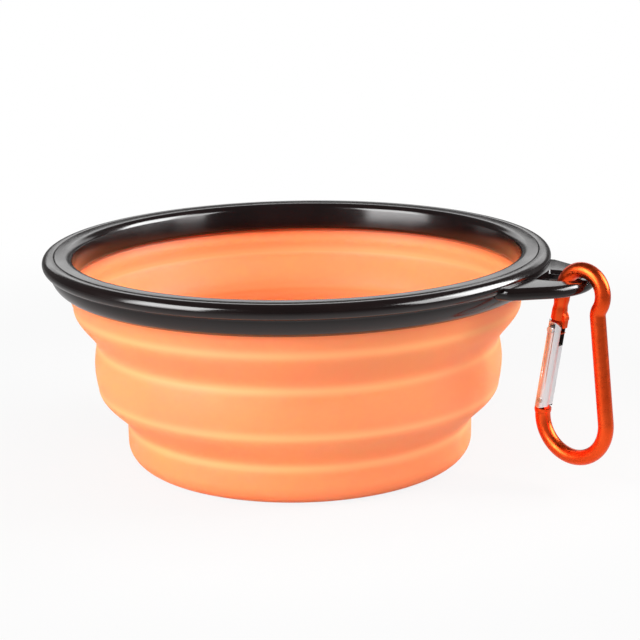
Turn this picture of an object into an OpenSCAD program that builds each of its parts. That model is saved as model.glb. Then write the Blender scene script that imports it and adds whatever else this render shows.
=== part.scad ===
// Collapsible silicone travel bowl with a two-piece clamping rim, a hang tab and a spring-gate clip.
// Millimetres. The bowl's axis is +Z, its underside is at z = 0 and the hang tab points along +X.
// The bowl is drawn standing open. Each of its two folds turns inside out when it is pressed flat.

/* [Bowl] */
// Height of the open bowl
bowl_h = 55; // [46:0.5:66]
// Height of the base cup, as a share of the wall that shows under the rim
base_h_share = 0.214; // [0.19:0.002:0.22]
// Height of each fold when the bowl is open, as the same share
fold_h_share = 0.214; // [0.18:0.002:0.22]
// Height of the band between the folds, as the same share
middle_h_share = 0.246; // [0.22:0.002:0.26]
// Width that the silicone keeps clear of the mouth's edge, under the rim
upper_step = 0.3; // [0.1:0.05:0.5]
// Step in from the upper band to the band between the folds
middle_step = 5.5; // [4.5:0.1:7]
// Step in from that band to the base cup
base_step = 7.1; // [5:0.1:8.5]
// Thickness of the silicone bands
wall_t = 1.8; // [1.4:0.1:2]
// Thickness in the middle of a fold
web_t = 1.3; // [1.1:0.1:1.6]
// Thickness at a fold line
crease_t = 1.0; // [0.8:0.1:1.1]
// Thickness of the floor
floor_t = 2; // [1.6:0.1:3]
// Outer radius of the base corner
base_corner = 5; // [3.5:0.5:6]
// How far the middle band swells
bulge = 0.7; // [0.2:0.1:0.9]

/* [Rim] */
// Outer diameter of the rim
rim_d = 130; // [108:1:180]
// Width of the rim, from its edge to the mouth
rim_w = 7.6; // [7.4:0.1:9]
// Diameter of the round bead along the rim's edge
bead_d = 3.7; // [3.4:0.1:4]
// Wall of the inner ring, at its top
ring_wall = 1.15; // [0.9:0.05:1.3]
// Lean of the inner ring's wall towards the mouth, in degrees
ring_lean = 8; // [4:0.5:9]
// Depth of the inner ring, from the top of the rim
ring_depth = 7.2; // [6.8:0.1:8]
// Thickness of the inner ring's flange
flange_t = 2; // [1.6:0.1:2.2]
// Width of the inner ring's flange, from the mouth to the seam
flange_w = 4.5; // [4.2:0.1:4.9]
// Radius along the mouth's edge
mouth_round = 1.8; // [1:0.1:1.9]
// Depth of the outer ring's skirt, from the top of the rim
skirt_depth = 8.3; // [8:0.1:9]
// Radius of the skirt's swell
skirt_round = 5.1; // [4.9:0.1:5.6]
// Thickness of the silicone in the rim's groove
collar_t = 1; // [0.8:0.05:1.05]
// Height of the bead that locks the silicone in the groove
lock_h = 1.8; // [1.4:0.1:2.2]
// Width of that bead, beyond the collar
lock_w = 1.6; // [1.2:0.1:1.8]
// Gap left in each seat of the rim
seat_gap = 0.05; // [0.03:0.01:0.08]

/* [Hang tab] */
// How far the tab reaches beyond the rim's edge
tab_out = 13.6; // [12.2:0.2:16]
// Radius of the tab's round end
tab_r = 15.4; // [13:0.2:17]
// Thickness of the tab
tab_t = 3; // [2.6:0.1:3.2]
// Step from the top of the rim down to the tab
tab_drop = 2.1; // [1.8:0.1:2.6]
// Radius along the tab's edge
tab_edge = 1.2; // [0.8:0.1:1.25]
// Width of the slot
slot_w = 9.8; // [8:0.2:11]
// Width of the tab's root, between the rim's edge and the slot
slot_set = 1.3; // [0.8:0.1:1.6]
// Width of the bar between the slot and the tab's tip
bar_w = 3.3; // [3:0.1:3.6]
// Chamfer along the slot
slot_chamfer = 0.9; // [0.7:0.1:1.1]

/* [Clip] */
// Diameter of the clip's rod
rod_d = 3.8; // [3.4:0.1:3.9]
// Radius of the hook, at the rod's centre
hook_r = 5.75; // [5.65:0.05:6.2]
// Radius of the clip's bottom bend, at the rod's centre
bend_r = 9.5; // [8.5:0.1:10.5]
// Height between the centres of the two bends
bends_apart = 32; // [27:0.5:40]
// Sideways step between the centres of the two bends
bends_offset = 1.9; // [1:0.1:2.6]
// Turn of the hook past its shoulder, in degrees
shoulder_turn = 32; // [26:1:36]
// Radius of the shoulder, at the rod's centre
shoulder_r = 3; // [2.6:0.1:3.6]
// Turn of the clip about the vertical, in degrees
clip_turn = 19.5; // [0:0.5:24]
// Sideways place of the hook on the tab's bar
clip_side = 1.5; // [0:0.1:2]
// Gap between the hook and the bar that it hangs on
hang_gap = 0.35; // [0.3:0.05:0.45]
// How far the hook's centre hangs in from the middle of the bar
hook_set = 0.12; // [0.08:0.01:0.14]

/* [Gate] */
// Diameter of the gate
gate_d = 4.2; // [4:0.1:4.4]
// Length of the straight nose above the gate
nose_len = 8.44; // [7.8:0.02:9]
// Length of the gate below its rivet
gate_tail = 1.9; // [1.7:0.1:2.1]
// Height of the rivet above the start of the bottom bend
rivet_rise = 2; // [1.8:0.1:2.6]
// Height of the collar under the hinge
collar_h = 1.2; // [1:0.1:1.4]
// Thickness of the tongues at the nose and at the hinge
tongue_t = 1.4; // [1.1:0.05:1.4]
// Gap on each side of a tongue
tongue_gap = 0.15; // [0.12:0.01:0.2]
// Width of the hinge tongue
hinge_tongue_w = 3; // [2.6:0.1:3.2]
// Height of the hinge tongue above the rivet
hinge_tongue_rise = 1.9; // [1.7:0.05:2]
// Room in the gate's tail above the hinge tongue
tail_room = 0.6; // [0.5:0.05:0.8]
// Diameter of the rivet
rivet_d = 1.2; // [1:0.05:1.3]
// Diameter of the rivet's heads
rivet_head_d = 1.9; // [1.6:0.05:2.1]
// Height of the rivet's heads
rivet_head_h = 0.3; // [0.2:0.02:0.4]
// Diameter of the nose pin
nose_pin_d = 1; // [0.8:0.05:1.1]
// Distance from the gate's tip to the nose pin
nose_pin_set = 1.8; // [1.6:0.1:2]
// Depth of the slot in the gate's tip
tip_slot = 5.9; // [5.4:0.1:6.4]
// Gap between the gate's tip and the nose
nose_gap = 0.6; // [0.4:0.1:0.8]
// Turn of the bevel that lets the gate open, in degrees
tail_bevel = 24; // [21:1:28]

/* [Spring] */
// Diameter of the gate's bore
bore_d = 2.2; // [2:0.05:2.3]
// Solid length left between the bore and the slot in the gate's tip
bore_wall = 0.9; // [0.6:0.1:1.6]
// Length of the plunger
plunger_len = 3; // [2.4:0.1:3.4]
// Running gap round the plunger
plunger_gap = 0.08; // [0.05:0.01:0.1]
// Room between the hinge tongue and the plunger, for the tongue's corner as the gate opens
plunger_room = 0.46; // [0.45:0.01:0.5]
// Gap at each end of the spring
spring_seat = 0.06; // [0.04:0.01:0.08]
// Wire of the gate's spring
wire_d = 0.3; // [0.25:0.01:0.36]
// Pitch of the gate's spring
spring_pitch = 0.9; // [0.6:0.05:1.2]

/* [Hidden] */
$fn = 96;

// Overrun of a cut past the face that it opens
over = 0.5;
// How far a slimmer length of the clip's rod runs into its neighbours, and how much slimmer it is
lap_run = 0.2;
lap_step = 0.02;
// Steps along the curve of a fold or a band
steps = 12;
// Height of the V that thins a band towards its fold line, as a share of the band's wall
crease_run_share = 1.1;
// The flare's growth with height, as a power
flare_power = 1.4;

// Levels of the silicone, from the floor up
skirt_z = bowl_h - skirt_depth;
base_h = base_h_share * skirt_z;
fold_h = fold_h_share * skirt_z;
middle_h = middle_h_share * skirt_z;
lower_fold_z = base_h;
middle_z = lower_fold_z + fold_h;
upper_fold_z = middle_z + middle_h;
upper_z = upper_fold_z + fold_h;
ring_z = bowl_h - ring_depth;
flange_z = bowl_h - flange_t;
lock_z = flange_z - lock_h;
crease_run = crease_run_share * wall_t;

// Radii of the rim and of the silicone, from the rim's edge in
rim_r = rim_d / 2;
bead_r = bead_d / 2;
mouth_r = rim_r - rim_w;
upper_r = mouth_r + upper_step;
middle_r = upper_r - middle_step;
base_r = middle_r - base_step;
ring_out_r = mouth_r + ring_wall;
ring_top = [mouth_r + mouth_round * (1 - cos(ring_lean)), bowl_h - mouth_round * (1 - sin(ring_lean))];
ring_foot_r = (ring_out_r - ring_top[0] + (ring_top[1] - ring_z) * tan(ring_lean))
    / (1 + cos(ring_lean) + (1 + sin(ring_lean)) * tan(ring_lean));
ring_foot = [ring_out_r - ring_foot_r, ring_z + ring_foot_r];
collar_in_r = ring_out_r + seat_gap;
collar_out_r = collar_in_r + collar_t;
skirt_in_r = collar_out_r + seat_gap;
lock_r = collar_out_r + lock_w;
seam_r = mouth_r + flange_w;
bead_c = [rim_r - bead_r, bowl_h - bead_r];
skirt_c = [bead_c[0] - skirt_round - seat_gap, bead_c[1] - bead_r];

// The tab, along +X
tab_top = bowl_h - tab_drop;
tab_low = tab_top - tab_t;
tab_reach = rim_r + tab_out;
tab_x = tab_reach - tab_r;
slot_end_r = slot_w / 2;
slot_end_x = tab_reach - bar_w - slot_end_r;
slot_x = rim_r + slot_set;

// The clip lies in its own plane: x runs away from the bowl, y runs up and the hook's centre is 0, 0
rod_r = rod_d / 2;
gate_r = gate_d / 2;
hook_x = tab_reach - bar_w / 2 - hook_set;
hook_z = tab_top + hang_gap + rod_r - hook_r;
bend_c = [-bends_offset, -bends_apart];
shoulder_c = (hook_r + shoulder_r) * [cos(shoulder_turn), -sin(shoulder_turn)];

// Lean of the gate side, the outer tangent of the hook and the bend
bends_span = norm(bend_c);
gate_lean = atan2(bends_offset, bends_apart) + asin((bend_r - hook_r) / bends_span);
// Lean of the spine, the crossing tangent of the shoulder and the bend
spine_vec = shoulder_c - bend_c;
spine_lean = asin((bend_r + shoulder_r) / norm(spine_vec)) - atan2(spine_vec[0], spine_vec[1]);

// Unit vectors along the gate and square to it, towards the inside of the clip
gate_up = [sin(gate_lean), cos(gate_lean)];
gate_in = [cos(gate_lean), -sin(gate_lean)];
rivet_p = bend_c - bend_r * gate_in + rivet_rise * gate_up;
// Heights along the gate, from the rivet
shoulder_low = -gate_tail - nose_gap / 2;
nose_top = -(rivet_p[0] * gate_up[0] + rivet_p[1] * gate_up[1]);
nose_low = nose_top - nose_len;
gate_len = nose_low - nose_gap;
nose_pin_rise = gate_len - nose_pin_set;
bore_rise = gate_len - tip_slot - bore_wall;
plunger_low = hinge_tongue_rise + plunger_room;
spring_low = plunger_low + plunger_len + spring_seat;
spring_r = bore_d / 2 - plunger_gap - wire_d;

function ease(t) = t * t * (3 - 2 * t);
function ease_slope(t) = 6 * t * (1 - t);

// One point of a fold: a smooth S from r_low to r_high, and inset from it by a thickness
function fold_r(r_low, r_high, t) = r_low + (r_high - r_low) * ease(t);
function fold_inset(r_low, r_high, t) =
    let (lean = atan((r_high - r_low) * ease_slope(t) / fold_h), thick = crease_t + (web_t - crease_t) * sin(180 * t))
    thick * [-cos(lean), sin(lean)];

// Section of a fold that stands on z_low
module fold_section(r_low, r_high, z_low) {
    outer = [for (i = [0:steps]) [fold_r(r_low, r_high, i / steps), z_low + fold_h * i / steps]];
    inner = [for (i = [steps:-1:0]) outer[i] + fold_inset(r_low, r_high, i / steps)];
    polygon(concat(outer, inner));
}

// Thickness of a band of height h at a height, thinned towards the fold lines that end it
function band_thick(height, h, ends) =
    let (low = ends[0] ? height : h, high = ends[1] ? h - height : h, near = min(low, high, crease_run))
    crease_t + (wall_t - crease_t) * near / crease_run;

module rounded_section(r, h, corner) {
    square([r - corner, h]);
    translate([0, corner]) square([r, h - corner]);
    translate([r - corner, corner]) circle(r = corner);
}

// The cup under the lower fold, with its floor
module base_cup() {
    color("coral") rotate_extrude() intersection() {
        square([base_r + over, base_h]);
        difference() {
            rounded_section(base_r, base_h, base_corner);
            translate([0, floor_t]) rounded_section(base_r - wall_t, base_h, base_corner - wall_t);
            polygon([[base_r - wall_t - over, base_h - crease_run], [base_r - wall_t, base_h - crease_run],
                     [base_r - crease_t, base_h], [base_r - wall_t - over, base_h]]);
        }
    }
}

module lower_fold() {
    color("lightsalmon") rotate_extrude() fold_section(base_r, middle_r, lower_fold_z);
}

// The band between the folds swells a little, and thins towards both fold lines
module middle_band() {
    heights = [for (i = [0:steps]) middle_h * i / steps];
    outer = [for (h = heights) [middle_r + bulge * sin(180 * h / middle_h), middle_z + h]];
    inner = [for (i = [steps:-1:0]) outer[i] - [band_thick(heights[i], middle_h, [true, true]), 0]];
    color("coral") rotate_extrude() polygon(concat(outer, inner));
}

module upper_fold() {
    color("lightsalmon") rotate_extrude() fold_section(middle_r, upper_r, upper_fold_z);
}

// The silicone flares out under the rim, runs up its groove and is locked there by a bead
module upper_wall() {
    flare_h = skirt_z - upper_z;
    heights = [for (i = [0:steps]) flare_h * i / steps];
    outer = [for (h = heights)
        [upper_r + (collar_out_r - upper_r) * pow(h / flare_h, flare_power), upper_z + h]];
    inner = [for (i = [steps:-1:0]) outer[i] - [band_thick(heights[i], flare_h, [true, false]), 0]];
    collar = [[collar_out_r, lock_z], [lock_r, lock_z], [lock_r, flange_z - seat_gap],
              [collar_in_r, flange_z - seat_gap], [collar_in_r, ring_z - seat_gap]];
    color("coral") rotate_extrude() polygon(concat(outer, collar, inner));
}

// The ring inside the mouth leans in towards its foot, and its flange covers the groove up to the seam on top
module rim_inner_ring() {
    top_c = [mouth_r + mouth_round, bowl_h - mouth_round];
    foot_in = ring_foot + ring_foot_r * [-cos(ring_lean), sin(ring_lean)];
    color("dimgray") rotate_extrude() {
        polygon([ring_foot, [ring_out_r, ring_foot[1]], [ring_out_r, flange_z], [seam_r, flange_z],
                 [seam_r, bowl_h], [top_c[0], bowl_h], top_c, ring_top, foot_in]);
        intersection() {
            translate(top_c) circle(r = mouth_round);
            translate([mouth_r, flange_z]) square([mouth_round, flange_t]);
        }
        translate(ring_foot) circle(r = ring_foot_r);
    }
}

// Section of the outer ring: the bead, the rebate for the flange, and the skirt that grips the silicone
module outer_ring_section() {
    difference() {
        union() {
            translate(bead_c) circle(r = bead_r);
            translate([seam_r + seat_gap, flange_z]) square([bead_c[0] - seam_r - seat_gap, flange_t]);
            translate([skirt_in_r, skirt_c[1]]) square([bead_c[0] - skirt_in_r, flange_z - skirt_c[1]]);
            intersection() {
                translate(skirt_c) circle(r = skirt_round);
                translate([skirt_in_r, skirt_z]) square([skirt_round, skirt_c[1] - skirt_z]);
            }
        }
        translate([skirt_in_r - over, lock_z - seat_gap])
            square([lock_r + seat_gap - skirt_in_r + over, bowl_h]);
        translate([skirt_in_r - over, flange_z]) square([seam_r + seat_gap - skirt_in_r + over, flange_t + over]);
    }
}

// The tab is a disc with a round edge that runs into the outer ring
module tab_disc() {
    translate([tab_x, 0, tab_low]) rotate_extrude() {
        square([tab_r - tab_edge, tab_t]);
        translate([0, tab_edge]) square([tab_r, tab_t - 2 * tab_edge]);
        for (y = [tab_edge, tab_t - tab_edge]) translate([tab_r - tab_edge, y]) circle(r = tab_edge);
    }
}

// The slot has a straight inner end and a round outer end, and is chamfered on both faces
module tab_slot() {
    mid = tab_low + tab_t / 2;
    half = tab_t / 2 + over;
    flat_h = tab_t / 2 - slot_chamfer;
    wide = slot_end_r + slot_chamfer + over;
    side = [[0, 0], [slot_end_r, 0], [slot_end_r, flat_h], [wide, half], [0, half]];
    for (turn = [0, 180]) translate([0, 0, mid]) rotate([turn, 0, 0]) {
        translate([slot_end_x, 0, 0]) rotate_extrude() polygon(side);
        for (flip = [0, 1]) mirror([0, flip, 0]) translate([slot_x, 0, 0])
            rotate([90, 0, 90]) linear_extrude(slot_end_x - slot_x) polygon(side);
    }
}

module rim_outer_ring() {
    color("darkslategray") difference() {
        union() {
            rotate_extrude() outer_ring_section();
            difference() {
                tab_disc();
                translate([0, 0, tab_low - over]) cylinder(h = tab_t + 2 * over, r = bead_c[0] - bead_r / 2);
            }
        }
        tab_slot();
    }
}

// Puts what is drawn in the clip's plane in its place on the tab's bar
module in_clip_plane() {
    translate([hook_x, -clip_side, hook_z]) rotate([90, 0, -clip_turn]) children();
}

// Puts what is drawn along the gate, up from the rivet, in its place in the clip's plane
module along_gate() {
    translate([rivet_p[0], rivet_p[1], 0]) rotate([0, 0, -gate_lean]) rotate([-90, 0, 0]) children();
}

// A bent length of rod. A thin one is lap_step slimmer and runs lap_run into its neighbours at both ends.
module rod_arc(centre, radius, from, sweep, thin) {
    lap = thin ? lap_run / radius * 180 / PI : 0;
    translate([centre[0], centre[1], 0]) rotate([0, 0, from - lap]) rotate_extrude(angle = sweep + 2 * lap)
        translate([radius, 0]) circle(r = thin ? rod_r - lap_step : rod_r);
}

module rod_line(a, b) {
    translate([a[0], a[1], 0]) rotate([0, 0, atan2(b[1] - a[1], b[0] - a[0])])
        rotate([0, 90, 0]) cylinder(h = norm(b - a), r = rod_r);
}

// The rod, bent to shape: hook, shoulder, spine and bottom bend, then the collar under the hinge and the nose
module bent_rod() {
    spine_out = [cos(spine_lean), sin(spine_lean)];
    bend_cut = (collar_h / 2 - shoulder_low - rivet_rise) / bend_r * 180 / PI;
    rod_arc([0, 0], hook_r, -shoulder_turn, 180 - gate_lean + shoulder_turn, false);
    rod_arc(shoulder_c, shoulder_r, 180 - shoulder_turn, shoulder_turn + spine_lean, true);
    rod_line(shoulder_c - shoulder_r * spine_out, bend_c + bend_r * spine_out);
    rod_arc(bend_c, bend_r, -180 - gate_lean + bend_cut, 180 + gate_lean + spine_lean - bend_cut, true);
    along_gate() {
        translate([0, 0, nose_low]) cylinder(h = nose_top + lap_run - nose_low, r = rod_r - lap_step);
        translate([0, 0, shoulder_low - collar_h]) cylinder(h = collar_h, r = gate_r - seat_gap);
    }
}

// A flat tongue along the gate, centred on the rod, from one height to another
module tongue(width, low, high) {
    translate([-width / 2, -tongue_t / 2, low]) cube([width, tongue_t, high - low]);
}

// The notch that the nose pin swings into, open towards the inside of the clip
module nose_notch() {
    notch_r = nose_pin_d / 2 + tongue_gap;
    translate([0, tongue_t / 2 + over, nose_pin_rise]) rotate([90, 0, 0]) {
        cylinder(h = tongue_t + 2 * over, r = notch_r);
        translate([0, -notch_r, 0]) cube([rod_d, 2 * notch_r, tongue_t + 2 * over]);
    }
}

module clip_body() {
    lip = nose_pin_rise - nose_pin_d - tongue_gap;
    color("orangered") in_clip_plane() difference() {
        union() {
            bent_rod();
            along_gate() {
                tongue(hinge_tongue_w, shoulder_low - lap_run, hinge_tongue_rise);
                tongue(hinge_tongue_w, lip, nose_low + lap_run);
            }
        }
        along_gate() {
            nose_notch();
            rotate([90, 0, 0]) cylinder(h = rod_d, r = rivet_d / 2, center = true);
        }
    }
}

// The gate: a rod with a fork at each end, bored from its tail for the spring
module clip_gate() {
    fork_w = tongue_t + 2 * tongue_gap;
    tail_slot_top = hinge_tongue_rise + tail_room;
    fork_len = gate_d + 2 * over;
    pin_r = nose_pin_d / 2;
    bevel = gate_r * tan(tail_bevel);
    color("silver") in_clip_plane() along_gate() difference() {
        translate([0, 0, -gate_tail]) cylinder(h = gate_tail + gate_len, r = gate_r);
        translate([-fork_len / 2, -fork_w / 2, gate_len - tip_slot]) cube([fork_len, fork_w, tip_slot + over]);
        translate([-fork_len / 2, -fork_w / 2, -gate_tail - over])
            cube([fork_len, fork_w, gate_tail + over + tail_slot_top]);
        translate([0, 0, -gate_tail - over]) cylinder(h = gate_tail + over + bore_rise, r = bore_d / 2);
        rotate([90, 0, 0]) cylinder(h = fork_len, r = rivet_d / 2 + seat_gap, center = true);
        translate([0, 0, nose_pin_rise]) rotate([90, 0, 0]) cylinder(h = fork_len, r = pin_r, center = true);
        translate([0, fork_len / 2, -gate_tail]) rotate([90, 0, 0]) linear_extrude(fork_len)
            polygon([[0, 0], [gate_r * 2, bevel * 2], [gate_r * 2, -over], [0, -over]]);
    }
}

// The rivet is fast in the hinge tongue, and its heads keep the gate on
module gate_rivet() {
    head_in = gate_r + seat_gap;
    color("lightgray") in_clip_plane() along_gate() rotate([90, 0, 0]) {
        cylinder(h = 2 * head_in, r = rivet_d / 2, center = true);
        for (flip = [0, 1]) mirror([0, 0, flip]) translate([0, 0, head_in])
            cylinder(h = rivet_head_h, r1 = rivet_head_d / 2, r2 = rivet_d / 2);
    }
}

// The pin is fast in the gate's tip and hooks into the nose
module nose_pin() {
    color("lightgray") in_clip_plane() along_gate() translate([0, 0, nose_pin_rise])
        rotate([90, 0, 0]) cylinder(h = gate_d - tongue_gap, r = nose_pin_d / 2, center = true);
}

module gate_plunger() {
    color("lightgray") in_clip_plane() along_gate() translate([0, 0, plunger_low])
        cylinder(h = plunger_len, r = bore_d / 2 - plunger_gap);
}

// One unbroken wire, wound up the bore from the plunger to the bore's blind end
module gate_spring() {
    sides = 6;
    per_turn = 12;
    rise = bore_rise - spring_low - wire_d - spring_seat;
    rings = floor(rise / spring_pitch) * per_turn;
    pts = [for (i = [0:rings]) let (a = 360 * i / per_turn, z = wire_d / 2 + rise * i / rings)
        for (k = [0:sides - 1]) let (b = 360 * k / sides, r = spring_r + wire_d / 2 * cos(b))
            [r * cos(a), r * sin(a), z + wire_d / 2 * sin(b)]];
    side_faces = [for (i = [0:rings - 1], k = [0:sides - 1])
        let (p = i * sides + k, q = i * sides + (k + 1) % sides)
        for (f = [[p, p + sides, q], [q, p + sides, q + sides]]) f];
    low_cap = [for (k = [1:sides - 2]) [0, k, k + 1]];
    high_cap = [for (k = [1:sides - 2]) [rings * sides, rings * sides + k + 1, rings * sides + k]];
    color("gray") in_clip_plane() along_gate() translate([0, 0, spring_low])
        polyhedron(pts, concat(side_faces, low_cap, high_cap));
}

rim_outer_ring();
rim_inner_ring();
upper_wall();
upper_fold();
middle_band();
lower_fold();
base_cup();
clip_body();
clip_gate();
gate_rivet();
nose_pin();
gate_plunger();
gate_spring();
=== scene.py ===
import math

import bmesh
import bpy
from mathutils import Matrix, Vector


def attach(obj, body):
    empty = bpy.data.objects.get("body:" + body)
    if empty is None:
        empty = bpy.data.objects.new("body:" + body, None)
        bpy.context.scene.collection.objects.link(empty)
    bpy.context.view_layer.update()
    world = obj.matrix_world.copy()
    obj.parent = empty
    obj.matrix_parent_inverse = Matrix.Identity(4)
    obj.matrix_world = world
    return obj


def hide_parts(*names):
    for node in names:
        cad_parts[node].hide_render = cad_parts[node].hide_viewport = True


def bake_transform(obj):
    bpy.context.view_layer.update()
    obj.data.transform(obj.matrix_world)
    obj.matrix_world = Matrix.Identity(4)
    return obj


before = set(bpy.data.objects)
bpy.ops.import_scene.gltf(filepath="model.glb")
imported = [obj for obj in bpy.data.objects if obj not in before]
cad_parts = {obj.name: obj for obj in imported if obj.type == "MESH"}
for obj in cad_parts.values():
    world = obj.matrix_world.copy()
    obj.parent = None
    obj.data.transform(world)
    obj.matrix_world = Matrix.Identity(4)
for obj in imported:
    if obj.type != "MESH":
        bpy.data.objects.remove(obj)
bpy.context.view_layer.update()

# The silicone bowl: one compression moulding of food-grade silicone, soft and matt, with two thin folds that
# turn inside out between thicker bands. It is meshed as two sheets that meet under the middle band, because
# a sheet can bend across one joint only. A Solidify modifier gives each sheet its wall, on the inside.
MM = 0.001
TURNS = 240

BOWL_H = 55 * MM
SKIRT_DEPTH = 8.3 * MM
SKIRT_Z = BOWL_H - SKIRT_DEPTH
BASE_H = 0.214 * SKIRT_Z
FOLD_H = 0.214 * SKIRT_Z
MIDDLE_H = 0.246 * SKIRT_Z
MIDDLE_Z = BASE_H + FOLD_H
UPPER_FOLD_Z = MIDDLE_Z + MIDDLE_H
UPPER_Z = UPPER_FOLD_Z + FOLD_H
UPPER_H = SKIRT_Z - UPPER_Z
COLLAR_TOP = 52.9 * MM

UPPER_R = 57.7 * MM
MIDDLE_R = 52.2 * MM
BASE_R = 45.1 * MM
COLLAR_R = 59.6 * MM
BASE_CORNER = 5 * MM
BULGE = 0.7 * MM
FLARE_POWER = 1.4

WALL_T = 1.8 * MM
WEB_T = 1.3 * MM
CREASE_T = 1.0 * MM
FLOOR_T = 2 * MM
CREASE_RUN = 3.6 * MM


def ease(t):
    """From 0 to 1, level at both ends."""
    return t * t * (3 - 2 * t)


def around(count):
    """The angles of a full turn in equal steps."""
    return [2 * math.pi * k / count for k in range(count)]


def linear(hex_colour):
    """An sRGB hex colour as linear red, green, blue and alpha."""
    parts = [int(hex_colour[i:i + 2], 16) / 255 for i in (1, 3, 5)]
    return [c / 12.92 if c <= 0.04045 else ((c + 0.055) / 1.055) ** 2.4 for c in parts] + [1]


def add(tree, kind, settings=None, **inputs):
    """Adds a shader node. The setting named stops holds a colour ramp's places and hex colours. An input is
    a value or an output socket. Its name has _ for a space, or is _ and its number."""
    node = tree.nodes.new(kind)
    for name, value in (settings or {}).items():
        if name != "stops":
            setattr(node, name, value)
            continue
        while len(node.color_ramp.elements) < len(value):
            node.color_ramp.elements.new(1)
        for stop, (spot, colour) in zip(node.color_ramp.elements, value):
            stop.position = spot
            stop.color = linear(colour)
    for name, value in inputs.items():
        key = int(name[1:]) if name[1:].isdigit() else name.replace("_", " ")
        if isinstance(value, bpy.types.NodeSocket):
            tree.links.new(value, node.inputs[key])
        else:
            node.inputs[key].default_value = value
    return node


def new_material(name):
    """A material and its node tree, with no nodes in it yet."""
    material = bpy.data.materials.new(name)
    material.use_nodes = True
    material.node_tree.nodes.clear()
    return material, material.node_tree


def new_piece(name, points, faces, material):
    """A mesh object from points in metres and faces, smoothly shaded."""
    mesh = bpy.data.meshes.new(name)
    mesh.from_pydata([tuple(spot) for spot in points], [], faces)
    mesh.validate()
    mesh.materials.append(material)
    mesh.shade_smooth()
    piece = bpy.data.objects.new(name, mesh)
    bpy.context.scene.collection.objects.link(piece)
    return piece


def ring_faces(count, sides, loop=False):
    """The faces between rings of points in a row. With loop, the last ring joins the first."""
    faces = []
    for i in range(count if loop else count - 1):
        here = i * sides
        there = (i + 1) % count * sides
        for k in range(sides):
            after = (k + 1) % sides
            faces.append((here + k, here + after, there + after, there + k))
    return faces


def turned_sheet(name, profile, material):
    """Turns a profile of (radius, height), from the top down, about the bowl's axis. It turns clockwise, so
    that its faces look outwards. A last point on the axis closes it."""
    closed = profile[-1][0] == 0
    rings = profile[:-1] if closed else profile
    points = [(r * math.cos(a), -r * math.sin(a), z) for r, z in rings for a in around(TURNS)]
    faces = ring_faces(len(rings), TURNS)
    if closed:
        last = len(points) - TURNS
        faces += [(last + k, last + (k + 1) % TURNS, len(points)) for k in range(TURNS)]
        points.append((0, 0, profile[-1][1]))
    return new_piece(name, points, faces, material)


# Food-grade silicone, peroxide-cured and tumbled: a matt, faintly dusty orange that lets light through. A
# painted glow makes the fold lines, where the wall is thinnest, yellower than the bands, as light shining
# through them. The inside is painted lighter, as lit, and a redder painted shade lies close under the rim.
# Light doesn't spread in it at the fold lines, so that the joint of the two sheets doesn't show. A faint
# bloom mottles it in patches about 22 mm wide, and its fine grain is drawn 0.36 mm wide to show.

# The painted glow is 1 at a fold line, where it yellows the orange. These are its values between the lines,
# with the base and the floor a deeper orange. Its lower values close under the rim paint a redder shade
# there, and the least that shows inside paints the inside lighter, as lit.
BAND_GLOW = 0.42
BASE_GLOW = 0.36
RIM_SHADED_GLOW = 0.12
FLOOR_GLOW = 0.1
INSIDE_LIT_GLOW = 0.6
INSIDE_FACING = -20 * MM
RIM_SHADE_LOW = 44 * MM
RIM_SHADE_HIGH = 47.4 * MM
RIM_SHADE = 0.9
MOTTLE = 22.2 * MM
MOTTLE_SHARE = 0.12
GRAIN = 0.357 * MM

silicone, tree = new_material("moulded silicone")
glow_attribute = add(tree, "ShaderNodeAttribute", {"attribute_name": "thinness"})
height = add(tree, "ShaderNodeAttribute", {"attribute_name": "height at rest"})
place = add(tree, "ShaderNodeNewGeometry")
cloud = add(tree, "ShaderNodeTexNoise", Vector=place.outputs["Position"], Scale=1 / MOTTLE, Detail=2)
grain = add(tree, "ShaderNodeTexNoise", Vector=place.outputs["Position"], Scale=1 / GRAIN, Detail=3)
spot = add(tree, "ShaderNodeSeparateXYZ", Vector=place.outputs["Position"])
level = add(tree, "ShaderNodeCombineXYZ", X=spot.outputs["X"], Y=spot.outputs["Y"])
facing = add(tree, "ShaderNodeVectorMath", {"operation": "DOT_PRODUCT"}, _0=level.outputs["Vector"],
             _1=place.outputs["Normal"])
# Painted light: faces that look inwards get at least a set glow, which paints the inside lighter, as lit.
inside = add(tree, "ShaderNodeMapRange", Value=facing.outputs["Value"], From_Min=0, From_Max=INSIDE_FACING)
least = add(tree, "ShaderNodeMath", {"operation": "MULTIPLY"}, _0=inside.outputs["Result"], _1=INSIDE_LIT_GLOW)
shine = add(tree, "ShaderNodeMath", {"operation": "MAXIMUM"}, _0=glow_attribute.outputs["Fac"],
            _1=least.outputs["Value"])
# Painted glow: yellower towards 1, at the fold lines, as light shining through them, and redder towards 0,
# as shade under the rim.
body = add(tree, "ShaderNodeValToRGB", {"stops": ((0, "#ff7648"), (BAND_GLOW, "#ff945e"), (1, "#ffa46a"))},
           Fac=shine.outputs["Value"])
# Painted shade: inside, close under the rim, the orange turns a deep red.
under_rim = add(tree, "ShaderNodeMapRange", {"interpolation_type": "SMOOTHSTEP"},
                Value=height.outputs["Fac"], From_Min=RIM_SHADE_LOW, From_Max=RIM_SHADE_HIGH,
                To_Max=RIM_SHADE)
shade = add(tree, "ShaderNodeMath", {"operation": "MULTIPLY"}, _0=inside.outputs["Result"],
            _1=under_rim.outputs["Result"])
rim_shaded = add(tree, "ShaderNodeMix", {"data_type": "RGBA"}, _0=shade.outputs["Value"], _6=body.outputs["Color"],
           _7=linear("#fb5a24"))
mottled = add(tree, "ShaderNodeMix", {"data_type": "RGBA", "blend_type": "SOFT_LIGHT"}, _0=MOTTLE_SHARE,
              _6=rim_shaded.outputs[2], _7=cloud.outputs["Color"])
rough = add(tree, "ShaderNodeMapRange", Value=grain.outputs["Fac"], To_Min=0.46, To_Max=0.6)
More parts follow.
